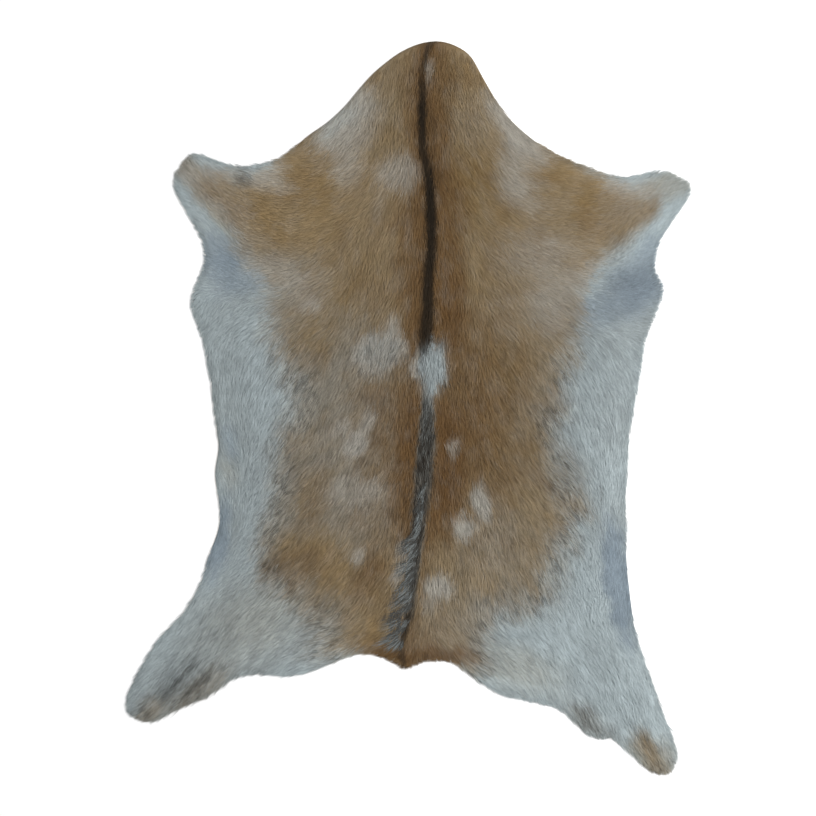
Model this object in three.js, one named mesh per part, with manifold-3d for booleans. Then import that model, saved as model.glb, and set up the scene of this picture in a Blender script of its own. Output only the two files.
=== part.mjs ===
// A hair-on goatskin rug: one whole tanned skin, cut along the belly and laid flat with its hair up.
// Millimetres, +Z up. The origin is on the floor under the middle of the skin. +Y runs along the
// spine to the neck, and +X to the right side of the skin as it is seen from above.
import * as THREE from "three";
import { mergeVertices } from "three/addons/utils/BufferGeometryUtils.js";
import Module from "manifold-3d";

// Driving dimensions
const HIDE_LENGTH = 900; // crown of the neck to the right hind foot
const HIDE_WIDTH = 694; // left hind foot to right forefoot
const SKIN_THICKNESS = 2; // the leather with the roots of its hair
const PILE_HEIGHT = 8; // hair lying over, on the back
const RIM_SHARE = 0.3; // of the pile's height at the cut edge
const RIM_REACH = 46; // how far in from the edge the pile comes to its full height
const LOCK_PITCH = 13; // from one hair lock to the next, along the edge
const LOCK_LEAN = 0.7; // of the pitch from a lock's root to its tip
const SURFACE_PITCH = 12; // of the facets on the hair side

// The cut edge, anticlockwise as seen from above. Each row is one stretch of it, with the points that it
// runs through, across and along from the middle of the skin, and how far its hair locks stand out.
const EDGES = [
  {
    edge: "left of the neck",
    lock: 2,
    points: [[32, 450], [-2, 440], [-42, 411], [-60, 391], [-82, 365], [-103, 347], [-127, 331], [-155, 306]],
  },
  {
    edge: "front of the left foreleg",
    lock: 2,
    points: [[-178, 299], [-202, 294], [-226, 299], [-262, 312]],
  },
  {
    edge: "left forefoot",
    lock: 3,
    points: [[-272, 307], [-283, 290], [-289, 276], [-282, 259]],
  },
  {
    edge: "back of the left foreleg",
    lock: 1.5,
    points: [[-261, 220], [-250, 194], [-250, 180]],
  },
  {
    edge: "left elbow",
    lock: 1.5,
    points: [[-261, 150], [-267, 134], [-265, 119]],
  },
  {
    edge: "left flank",
    lock: 1.5,
    points: [[-250, 78], [-242, 35], [-237, -2], [-236, -22], [-232, -46]],
  },
  {
    edge: "left of the belly",
    lock: 1.5,
    points: [[-238, -80], [-232, -116], [-231, -141]],
  },
  {
    edge: "front of the left hind leg",
    lock: 3,
    points: [[-246, -184], [-251, -206], [-281, -258], [-301, -275], [-320, -306], [-331, -325]],
  },
  {
    edge: "left hind foot",
    lock: 4,
    points: [[-346, -359], [-346, -371], [-331, -380], [-322, -386]],
  },
  {
    edge: "back of the left hind leg",
    lock: 4,
    points: [[-300, -377], [-262, -358], [-243, -353], [-229, -339], [-200, -325]],
  },
  {
    edge: "left of the rump",
    lock: 2,
    points: [[-155, -327], [-122, -324], [-92, -311], [-66, -300], [-42, -301]],
  },
  {
    edge: "tail",
    lock: 2,
    points: [[-18, -311], [-5, -320], [12, -312]],
  },
  {
    edge: "right of the rump",
    lock: 2,
    points: [[40, -309], [58, -310], [80, -330], [99, -341], [116, -353]],
  },
  {
    edge: "back of the right hind leg",
    lock: 4,
    points: [[142, -354], [160, -361], [195, -370], [206, -386], [232, -406], [240, -402], [252, -403]],
  },
  {
    edge: "right hind foot",
    lock: 4,
    points: [[280, -429], [300, -446], [312, -450], [328, -438], [330, -420]],
  },
  {
    edge: "front of the right hind leg",
    lock: 3,
    points: [[313, -376], [301, -338], [285, -298], [271, -218]],
  },
  {
    edge: "right flank",
    lock: 1.5,
    points: [[267, -150], [268, -80], [272, -24], [282, 30], [291, 82]],
  },
  {
    edge: "right elbow",
    lock: 1.5,
    points: [[306, 121], [314, 146]],
  },
  {
    edge: "back of the right foreleg",
    lock: 1.5,
    points: [[303, 168], [303, 184], [312, 210], [334, 242]],
  },
  {
    edge: "right forefoot",
    lock: 3,
    points: [[347, 264], [346, 274], [328, 285], [310, 290]],
  },
  {
    edge: "front of the right foreleg",
    lock: 2,
    points: [[280, 284], [246, 284], [220, 296]],
  },
  {
    edge: "right of the neck",
    lock: 2,
    points: [[198, 302], [165, 320], [137, 342], [118, 361], [105, 382], [88, 411], [78, 431], [58, 444]],
  },
];

// The crest of longer hair on the spine, from the neck to the tail. It stands over the pile beside it.
const CREST = [
  { across: 31, along: 450, halfWidth: 9, height: 1 },
  { across: 18, along: 380, halfWidth: 9, height: 2 },
  { across: 28, along: 240, halfWidth: 11, height: 2.5 },
  { across: 25, along: 100, halfWidth: 12, height: 2.5 },
  { across: 26, along: 20, halfWidth: 12, height: 2 },
  { across: 17, along: -70, halfWidth: 13, height: 3 },
  { across: 5, along: -200, halfWidth: 17, height: 4 },
  { across: -5, along: -318, halfWidth: 12, height: 2 },
];

// Where the hair is short and sparse, in the pits of the legs and on the belly. Turn is in degrees,
// anticlockwise from across, and keep is the share of the pile's height that is left in the middle.
const THIN_HAIR = [
  { place: "pit of the left foreleg", across: -232, along: 195, long: 62, wide: 26, turn: 112, keep: 0.35 },
  { place: "pit of the right foreleg", across: 285, along: 160, long: 66, wide: 28, turn: 62, keep: 0.35 },
  { place: "left of the belly", across: -226, along: -40, long: 70, wide: 16, turn: 92, keep: 0.45 },
  { place: "left groin", across: -232, along: -165, long: 48, wide: 18, turn: 78, keep: 0.4 },
  { place: "right groin", across: 256, along: -215, long: 72, wide: 20, turn: 102, keep: 0.35 },
];

// Soft folds that the skin dried into: height is over the pile around them, and below it where negative.
const FOLDS = [
  { fold: "left shoulder", from: [-278, 292], to: [-212, 228], halfWidth: 12, height: 2.2 },
  { fold: "right shoulder", from: [338, 268], to: [268, 196], halfWidth: 13, height: 2.2 },
  { fold: "left elbow", from: [-250, 160], to: [-178, 158], halfWidth: 9, height: -1.8 },
  { fold: "right elbow", from: [308, 144], to: [236, 126], halfWidth: 10, height: -1.8 },
  { fold: "left belly", from: [-214, -30], to: [-208, -58], halfWidth: 9, height: -2.2 },
  { fold: "left stifle", from: [-216, -140], to: [-232, -205], halfWidth: 9, height: -1.6 },
  { fold: "right belly", from: [248, -100], to: [236, -165], halfWidth: 10, height: 1.8 },
  { fold: "right stifle", from: [246, -232], to: [276, -292], halfWidth: 11, height: 1.6 },
  { fold: "left shank", from: [-250, -300], to: [-318, -366], halfWidth: 16, height: 2 },
  { fold: "right shank", from: [258, -330], to: [306, -430], halfWidth: 16, height: 2 },
];

// Low lumps of the coat. Each row is a field of them: a pair of lump and hollow is so long along the bearing,
// in degrees, and so wide across it.
const LUMPS = [
  { long: 150, wide: 96, bearing: 74, height: 0.7 },
  { long: 92, wide: 58, bearing: 112, height: 0.6 },
  { long: 66, wide: 40, bearing: 96, height: 0.5 },
];

const FULL_TURN = 2 * Math.PI;
const { degToRad, smoothstep, lerp } = THREE.MathUtils;

// An even spread of numbers from 0 to 1 that never falls into step with what it counts.
function scatter(count) {
  const golden = (Math.sqrt(5) - 1) / 2;
  return (count * golden) % 1;
}

// The points stretched about their own middle, so that the whole outline has the driving dimensions.
function fitted(points) {
  const drawn = new THREE.Box2().setFromPoints(points);
  const middle = drawn.getCenter(new THREE.Vector2());
  const size = drawn.getSize(new THREE.Vector2());
  const stretch = new THREE.Vector2(HIDE_WIDTH / size.x, HIDE_LENGTH / size.y);
  return points.map((point) => point.clone().sub(middle).multiply(stretch));
}

// The cut edge with its hair locks. Each lock runs from a root just inside the edge to a tip just outside,
// and leans the way the hair grows, away from the crown of the neck.
function lockedOutline() {
  const rows = EDGES.flatMap(({ points, lock }) => points.map((point) => ({ point, lock })));
  const places = rows.map(({ point: [x, y] }) => new THREE.Vector3(x, y, 0));
  const crown = places[0];
  const curve = new THREE.CatmullRomCurve3(places, true, "centripetal");
  curve.arcLengthDivisions = 20 * rows.length;
  const locks = Math.round(curve.getLength() / LOCK_PITCH);
  const outline = [];
  const addPoint = (share, out) => {
    const t = curve.getUtoTmapping(share % 1);
    const lock = rows[Math.floor(t * rows.length) % rows.length].lock;
    const along = curve.getTangent(t);
    const place = curve.getPoint(t);
    outline.push(new THREE.Vector2(place.x + along.y * lock * out, place.y - along.x * lock * out));
  };
  for (let k = 0; k < locks; k += 1) {
    const root = k / locks;
    const fromCrown = curve.getPointAt(root).sub(crown);
    const lean = curve.getTangentAt(root).dot(fromCrown) > 0 ? LOCK_LEAN : 1 - LOCK_LEAN;
    addPoint(root, -0.5);
    addPoint((k + lean) / locks, 0.2 + 0.6 * scatter(k));
  }
  return fitted(outline);
}

// The place on a line of points nearest to x, y: how far away it is, and where along the line.
function nearest(line, x, y) {
  let best = { distance: Infinity };
  for (let i = 0; i + 1 < line.length; i += 1) {
    const runX = line[i + 1].x - line[i].x;
    const runY = line[i + 1].y - line[i].y;
    const projected = ((x - line[i].x) * runX + (y - line[i].y) * runY) / (runX ** 2 + runY ** 2);
    const share = THREE.MathUtils.clamp(projected, 0, 1);
    const distance = Math.hypot(x - line[i].x - share * runX, y - line[i].y - share * runY);
    if (distance < best.distance) best = { distance, index: i, share };
  }
  return best;
}

// A smooth bump: 1 at its middle, and near 0 at twice its half width.
function bump(distance, halfWidth) {
  return Math.exp(-((distance / halfWidth) ** 2));
}

const outline = lockedOutline();
const closedOutline = [...outline, outline[0]];
const crestLine = CREST.map(({ across, along }) => new THREE.Vector2(across, along));

function crestHeight(x, y) {
  const { distance, index, share } = nearest(crestLine, x, y);
  const halfWidth = lerp(CREST[index].halfWidth, CREST[index + 1].halfWidth, share);
  const height = lerp(CREST[index].height, CREST[index + 1].height, share);
  return height * bump(distance, halfWidth);
}

// The share of the pile's height that the bare places leave.
function hairShare(x, y) {
  return THIN_HAIR.reduce((left, { across, along, long, wide, turn, keep }) => {
    const away = new THREE.Vector2(x - across, y - along).rotateAround(new THREE.Vector2(), -degToRad(turn));
    return left * (1 - (1 - keep) * bump(Math.hypot(away.x / long, away.y / wide), 1));
  }, 1);
}

function foldHeight(x, y) {
  return FOLDS.reduce((total, { from, to, halfWidth, height }) => {
    const line = [new THREE.Vector2(...from), new THREE.Vector2(...to)];
    return total + height * bump(nearest(line, x, y).distance, halfWidth);
  }, 0);
}

function lumpHeight(x, y) {
  return LUMPS.reduce((total, { long, wide, bearing, height }) => {
    const turned = new THREE.Vector2(x, y).rotateAround(new THREE.Vector2(), -degToRad(bearing));
    return total + height * Math.sin((FULL_TURN * turned.x) / long) * Math.sin((FULL_TURN * turned.y) / wide);
  }, 0);
}

// How high the lying hair stands over the floor at a place on the skin.
function coatHeight(x, y) {
  const fromEdge = nearest(closedOutline, x, y).distance;
  const rim = RIM_SHARE + (1 - RIM_SHARE) * smoothstep(fromEdge, 0, RIM_REACH);
  const relief = crestHeight(x, y) + foldHeight(x, y) + lumpHeight(x, y);
  return SKIN_THICKNESS + rim * (PILE_HEIGHT * hairShare(x, y) + relief);
}

// A block under the whole coat, deeper than the skin, whose top is the surface of the hair.
function coatBlock() {
  const depth = 20;
  const acrossSteps = Math.ceil(HIDE_WIDTH / SURFACE_PITCH) + 2;
  const alongSteps = Math.ceil(HIDE_LENGTH / SURFACE_PITCH) + 2;
  const width = acrossSteps * SURFACE_PITCH;
  const length = alongSteps * SURFACE_PITCH;
  const block = new THREE.BoxGeometry(width, length, depth, acrossSteps, alongSteps, 1);
  const place = block.getAttribute("position");
  for (let i = 0; i < place.count; i += 1) {
    const onTop = place.getZ(i) > 0;
    place.setZ(i, onTop ? coatHeight(place.getX(i), place.getY(i)) : -depth);
  }
  return block;
}

// A straight-sided prism over the cut edge, standing on the floor.
function edgePrism() {
  const taller = 3 * (SKIN_THICKNESS + PILE_HEIGHT);
  return new THREE.ExtrudeGeometry(new THREE.Shape(outline), { depth: taller, bevelEnabled: false });
}

const wasm = await Module();
wasm.setup();

function solidOf(geometry) {
  geometry.deleteAttribute("normal");
  geometry.deleteAttribute("uv");
  const merged = mergeVertices(geometry);
  const vertProperties = new Float32Array(merged.getAttribute("position").array);
  const triVerts = new Uint32Array(merged.getIndex().array);
  return new wasm.Manifold(new wasm.Mesh({ numProp: 3, vertProperties, triVerts }));
}

function geometryOf(solid) {
  const { vertProperties, triVerts } = solid.getMesh();
  const geometry = new THREE.BufferGeometry();
  geometry.setAttribute("position", new THREE.BufferAttribute(vertProperties, 3));
  geometry.setIndex(new THREE.BufferAttribute(triVerts, 1));
  geometry.computeVertexNormals();
  return geometry;
}

// The whole skin in one piece: the coat, cut to the edge, with a flat flesh side on the floor.
function makeHide() {
  const solid = solidOf(coatBlock()).intersect(solidOf(edgePrism()));
  const goatHair = new THREE.MeshStandardMaterial({ color: 0x857258, roughness: 0.85, metalness: 0 });
  const hide = new THREE.Mesh(geometryOf(solid), goatHair);
  hide.name = "hide";
  return hide;
}

const rug = new THREE.Group();
rug.add(makeHide());

export default rug;
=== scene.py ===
"""A hair-on goatskin rug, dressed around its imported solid.

The skin is a thin sheet on the floor with a bed of down on it. Its hair is modelled strand by strand:
tapered blades, gathered into locks, that lie the way the coat grows and fill the solid from the skin to its
top. Places on the skin are in millimetres, across to the right and along to the neck, from the middle of its
outline. Turns and headings are in degrees, anticlockwise from across, so hair that lies straight to the tail
has a heading of -90.
"""

import math
from collections import namedtuple

import bpy
import numpy as np
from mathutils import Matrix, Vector
from mathutils.bvhtree import BVHTree
from mathutils.geometry import delaunay_2d_cdt


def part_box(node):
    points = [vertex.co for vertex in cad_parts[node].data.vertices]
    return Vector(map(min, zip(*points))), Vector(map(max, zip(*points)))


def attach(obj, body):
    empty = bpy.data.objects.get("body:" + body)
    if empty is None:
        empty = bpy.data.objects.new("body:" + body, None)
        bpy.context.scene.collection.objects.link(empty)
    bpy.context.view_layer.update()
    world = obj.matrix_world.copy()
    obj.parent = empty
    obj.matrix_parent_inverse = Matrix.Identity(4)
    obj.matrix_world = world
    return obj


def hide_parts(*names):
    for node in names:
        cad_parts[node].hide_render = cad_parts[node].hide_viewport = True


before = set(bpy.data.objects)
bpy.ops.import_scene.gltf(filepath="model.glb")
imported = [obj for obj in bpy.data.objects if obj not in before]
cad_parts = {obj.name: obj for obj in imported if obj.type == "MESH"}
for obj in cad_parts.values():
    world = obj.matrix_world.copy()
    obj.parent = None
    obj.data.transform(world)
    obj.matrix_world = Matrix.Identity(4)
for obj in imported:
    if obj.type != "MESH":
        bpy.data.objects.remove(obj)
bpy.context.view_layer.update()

MM = 0.001
SEED = 20

# Skin, in millimetres
SKIN_THICKNESS = 1.6
SKIN_PITCH = 6.0  # of the sheet's faces
EDGE_SMOOTHING = 4  # passes over the outline, which take its hair locks off the leather
LEAST_INSET = 0.5  # from the outline to the cut edge of the leather, where the hair lies inwards from it
MOST_INSET = 3.0  # the same where the hair lies out over the edge
DOWN_SHARE = 0.5  # of the room between the skin and the top of the coat is filled with soft down
DOWN_REACH = 10.0  # from the edge, where the down gets its full height
ROOT_HEIGHT = 0.8  # of the skin's thickness, where hair starts inside it

# Hair, in millimetres
LOCK_PITCH = 2.1
BLADES_IN_LOCK = 3
LOCK_MARGIN = 0.3  # from the edge of the leather to the nearest lock
LOCK_SPREAD = 1.5  # radius of a lock's roots
LOCK_LENGTHS = (0.82, 1.18)  # of the coat's own length, from lock to lock
LOCK_HEIGHTS = (0.88, 1.04)  # of the solid's height, from lock to lock
LOCK_GATHER = 0.25  # how far the tips of a lock come together
LOCK_WANDER = 6.0  # degrees that a lock strays from the coat's own heading
SWIRL = 8.0  # degrees that neighbouring locks stray together
SWIRL_SIZE = 20.0
BLADE_WANDER = 4.0  # degrees that a blade strays from its lock
BLADE_ROLL = 10.0  # degrees that a blade leans over on its side, at most
BLADE_LENGTHS = (0.72, 1.08)  # of its lock's length, from hair to hair
BLADE_SINK = 0.55  # most of its lock's height that a hair lies lower
BLADE_RISE = (0.0, 0.8, 0.82)  # of its height at a hair's root, middle and tip
BLADE_WAVE = (0.8, 1.2)  # of that rise, from place to place along a hair
BLADE_WIDTH = 0.54
BLADE_WIDTHS = (0.7, 1.3)  # of that width, from hair to hair
ROOT_WIDTH_SHARE = 0.7
RIM_OVERHANG = 1.5  # past the solid's outline, for the tips of the rim's locks
RIM_REACH = 30.0  # from the edge of the leather, as far as hair may lie over it
RIM_DROOP = 6.0  # past the edge of the leather, where hair has come down to the floor
RIM_DROOP_SHARE = 0.7  # of its height that the tip of such a hair has lost
LEAST_PILE = 1.2  # room for hair over the skin where the solid is thinnest
HAIR_BANDS = ("rump", "loin", "back", "shoulders", "neck")  # pieces of hair, from the tail up

# The coat's headings
Heading = namedtuple("Heading", "across along heading")
HEADINGS = [
    # Neck and withers
    Heading(-40, 395, -105), Heading(20, 410, -94), Heading(75, 395, -74),
    Heading(-90, 342, -128), Heading(-20, 340, -99), Heading(60, 340, -74), Heading(118, 345, -50),
    Heading(-30, 280, -120), Heading(22, 300, -90), Heading(65, 280, -64), Heading(110, 285, -50),
    # Left shoulder and foreleg
    Heading(-75, 270, -150), Heading(-110, 245, -165), Heading(-150, 280, 178), Heading(-170, 235, 165),
    Heading(-210, 285, 160), Heading(-262, 280, 138), Heading(-225, 215, 132), Heading(-255, 240, 136),
    Heading(-225, 165, 158), Heading(-170, 190, 165),
    # Right shoulder and foreleg
    Heading(140, 270, -18), Heading(130, 225, -28), Heading(185, 280, -10), Heading(190, 225, -3),
    Heading(235, 260, 5), Heading(310, 268, 28), Heading(270, 210, 42), Heading(318, 240, 48),
    Heading(285, 160, 22), Heading(220, 170, -8),
    # Back behind the shoulders
    Heading(-20, 200, -106), Heading(-60, 170, -100), Heading(-110, 165, -150), Heading(-180, 150, -172),
    Heading(25, 200, -90), Heading(65, 190, -74), Heading(105, 180, -55), Heading(170, 165, -22),
    Heading(-60, 115, -112), Heading(-120, 115, -140), Heading(-195, 110, -145), Heading(-240, 110, -125),
    Heading(62, 120, -85), Heading(125, 115, -52), Heading(195, 115, -35), Heading(265, 115, -14),
    # Middle of the back, and flanks
    Heading(-50, 60, -108), Heading(-140, 60, -120), Heading(-190, 50, -116), Heading(-228, 45, -91),
    Heading(22, 80, -92), Heading(70, 55, -84), Heading(140, 55, -59), Heading(200, 50, -58),
    Heading(262, 50, -58), Heading(-80, -15, -114), Heading(-155, -15, -119), Heading(-224, -15, -84),
    Heading(22, -20, -94), Heading(75, -15, -76), Heading(155, -15, -59), Heading(225, -20, -66),
    Heading(262, -45, -90), Heading(-65, -85, -113), Heading(-140, -85, -130), Heading(-185, -70, -112),
    Heading(-221, -62, -58), Heading(65, -85, -82), Heading(130, -85, -58), Heading(185, -80, -44),
    Heading(222, -90, -62), Heading(258, -95, -98),
    # Loin and rump
    Heading(-60, -155, -115), Heading(-140, -150, -128), Heading(-190, -150, -128),
    Heading(-222, -130, -85),
    Heading(8, -150, -100), Heading(75, -160, -77), Heading(150, -160, -66), Heading(195, -150, -50),
    Heading(250, -150, -75), Heading(-60, -225, -124), Heading(-130, -215, -134), Heading(-200, -215, -136),
    Heading(72, -225, -82), Heading(140, -225, -65), Heading(205, -220, -68), Heading(258, -205, -100),
    Heading(-45, -282, -142), Heading(-105, -285, -160), Heading(-170, -290, -140), Heading(0, -260, -100),
    Heading(60, -288, -55), Heading(108, -300, -36), Heading(170, -300, -55),
    # Hind legs
    Heading(-235, -275, -127), Heading(-255, -330, -128), Heading(-310, -345, -138),
    Heading(235, -290, -57), Heading(210, -345, -63), Heading(268, -365, -70), Heading(306, -405, -60),
]
HEADING_BLUR = 14.0

# How long the hair is, in millimetres
Length = namedtuple("Length", "across along length")
LENGTHS = [
    Length(20, 390, 20), Length(-70, 340, 20), Length(110, 340, 20), Length(20, 250, 19),
    Length(-160, 250, 17), Length(190, 250, 17), Length(-262, 280, 15), Length(318, 265, 15),
    Length(-235, 185, 11), Length(288, 165, 11), Length(-80, 100, 18), Length(110, 100, 18),
    Length(-205, 40, 24), Length(240, 40, 24), Length(-80, -60, 19), Length(100, -60, 19),
    Length(-220, -60, 18), Length(225, -90, 24), Length(258, -215, 11), Length(-234, -165, 13),
    Length(-80, -210, 21), Length(90, -210, 21), Length(-190, -260, 26), Length(180, -290, 26),
    Length(-300, -345, 26), Length(290, -400, 26),
]
LENGTH_BLUR = 30.0

# The mane on the loin: long hair rooted along the spine that sweeps over to the left and bends as it goes
Mane = namedtuple("Mane", "across along heading bend length")
MANE = [
    Mane(23, -85, -97, -6, 18), Mane(20, -120, -102, -12, 22), Mane(18, -140, -106, -25, 26),
    Mane(17, -150, -114, -60, 40), Mane(16, -164, -106, -25, 24), Mane(15, -176, -114, -60, 44),
    Mane(14, -190, -108, -30, 28), Mane(13, -200, -112, -50, 50), Mane(12, -214, -112, -52, 54),
    Mane(10, -228, -108, -30, 30), Mane(8, -237, -118, -72, 62), Mane(5, -252, -110, -34, 30),
    Mane(2, -262, -112, -72, 52), Mane(-3, -280, -102, -20, 20),
]
MANE_WIDTH = 8.0  # of its roots, to the left of the line above
MANE_LOCKS = 520
MANE_STEPS = 5  # places along a lock
MANE_LENGTHS = (0.7, 1.1)  # of the length above, from lock to lock
MANE_HEIGHTS = (0.9, 1.1)  # of the solid's height, from lock to lock
MANE_BLADES = 9
MANE_BLADE_WIDTH = 0.48
MANE_SPREAD = 1.0
MANE_WANDER = 4.0  # degrees that a lock strays
MANE_GREY_SHARE = 0.75  # of the locks in its grey tufts turn grey above their roots
MANE_TUFT = 6.0
MANE_TUFT_EDGE = (-0.5, 0.4)  # levels of noise at which a grey tuft begins and is full
MANE_GREY = 0.85  # of grey under the black of every hair
MANE_TIP_BLACK = 0.75  # of a dark hair's black is left at its tip
MANE_GREY_TIP = 0.2  # the same in a grey hair, at most
MANE_TURN = (0.15, 0.8)  # of a hair's length, where its black starts to fade and has faded

# The dark stripe on the spine, from the crown of the neck to the tail: how wide, black and grey it is, and
# how brown the coat is beside it
Stripe = namedtuple("Stripe", "across along half_width black grey brown")
STRIPE = [
    Stripe(30, 452, 6, 0.75, 0, 0.85), Stripe(22, 436, 3.4, 0.75, 0, 0.85),
    Stripe(17, 405, 3.6, 0.58, 0, 0.85), Stripe(17, 384, 4.2, 0.9, 0, 0.85),
    Stripe(17, 360, 4.8, 1.0, 0, 0.85), Stripe(17, 330, 4.6, 0.97, 0, 0.85),
    Stripe(18, 313, 4.2, 0.82, 0, 0.85), Stripe(20, 302, 5, 0.88, 0, 0.85),
    Stripe(26, 280, 6, 1.0, 0, 0.85), Stripe(28, 230, 6.2, 1.0, 0, 0.85),
    Stripe(28, 185, 6.2, 0.98, 0, 0.85), Stripe(24, 150, 6.8, 0.96, 0, 0.85),
    Stripe(24, 110, 7.8, 0.94, 0, 0.85), Stripe(22, 86, 8, 0.94, 0, 0.85),
    Stripe(18, 68, 5.5, 0.75, 0, 0.85), Stripe(18, 56, 3, 0.15, 0, 0.4),
    Stripe(24, 14, 5, 0.1, 0.4, 0.4), Stripe(24, 4, 7, 0.8, 0.45, 0.85),
    Stripe(22, -40, 9.5, 0.94, 0.42, 0.85), Stripe(19, -80, 10, 0.97, 0.37, 0.85),
    Stripe(14, -130, 9, 0.97, 0.3, 0.85), Stripe(9, -180, 6, 0.94, 0.4, 0.5),
    Stripe(4, -228, 5, 0.94, 0.3, 0.35), Stripe(2, -250, 4.5, 0.94, 0.2, 0.35),
    Stripe(-5, -272, 4, 0.92, 0.1, 0.4), Stripe(-8, -290, 3.6, 0.85, 0, 0.5),
    Stripe(-8, -303, 3, 0.8, 0, 0.5), Stripe(-5, -322, 2.5, 0.65, 0, 0.5),
]
STRIPE_STRAY = 0.3  # of its width, by which it swells and narrows
STRIPE_EDGE = (0.5, 1.6)  # half widths from its middle, where it starts to fade and has faded
STRIPE_SIDE = (0.9, 5.5)  # the same for the brown beside it
STRIPE_GREYED = 0.5  # in the grey column, where no tan is left in it
STRIPE_TUFT_EDGE = (-0.2, 0.4)  # levels of noise at which a grey tuft begins and is full

# The edge of the tan saddle, anticlockwise from the crown: where it is half tan, and how far it fades to
# each side. It runs outside the skin where the tan meets the cut edge.
Edge = namedtuple("Edge", "across along soft")
SADDLE = [
    Edge(32, 470, 15), Edge(-30, 445, 15), Edge(-80, 400, 15), Edge(-130, 355, 15),
    Edge(-152, 322, 16), Edge(-163, 294, 18), Edge(-200, 286, 20), Edge(-240, 288, 24),
    Edge(-282, 303, 28), Edge(-264, 270, 18), Edge(-234, 244, 16), Edge(-216, 213, 14),
    Edge(-200, 187, 18), Edge(-178, 164, 30), Edge(-160, 142, 38), Edge(-157, 100, 42),
    Edge(-149, 60, 44), Edge(-122, 28, 48), Edge(-124, 0, 46), Edge(-142, -34, 34),
    Edge(-153, -60, 32), Edge(-150, -85, 36), Edge(-148, -112, 38), Edge(-166, -140, 32),
    Edge(-175, -165, 30), Edge(-168, -200, 32), Edge(-150, -219, 36), Edge(-117, -244, 42),
    Edge(-100, -270, 46), Edge(-70, -295, 32), Edge(-50, -325, 18), Edge(0, -350, 15),
    Edge(70, -335, 18), Edge(82, -300, 28), Edge(88, -272, 32), Edge(102, -254, 34),
    Edge(138, -240, 32), Edge(164, -226, 30), Edge(168, -195, 32), Edge(180, -170, 34),
    Edge(200, -152, 28), Edge(206, -128, 32), Edge(194, -95, 34), Edge(187, -62, 34),
    Edge(174, -35, 40), Edge(178, 0, 42), Edge(188, 35, 32), Edge(199, 75, 24),
    Edge(205, 110, 22), Edge(204, 145, 24), Edge(228, 168, 22), Edge(250, 187, 20),
    Edge(270, 208, 18), Edge(286, 228, 16), Edge(303, 246, 18), Edge(283, 259, 18),
    Edge(253, 275, 20), Edge(230, 295, 18), Edge(206, 318, 14), Edge(200, 340, 12),
    Edge(160, 355, 15), Edge(115, 410, 15), Edge(80, 460, 15),
]
SADDLE_STRAY = 8.0  # millimetres that its edge wanders
PATTERN_STRAY = 5.0  # millimetres that the whole pattern wanders

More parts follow.
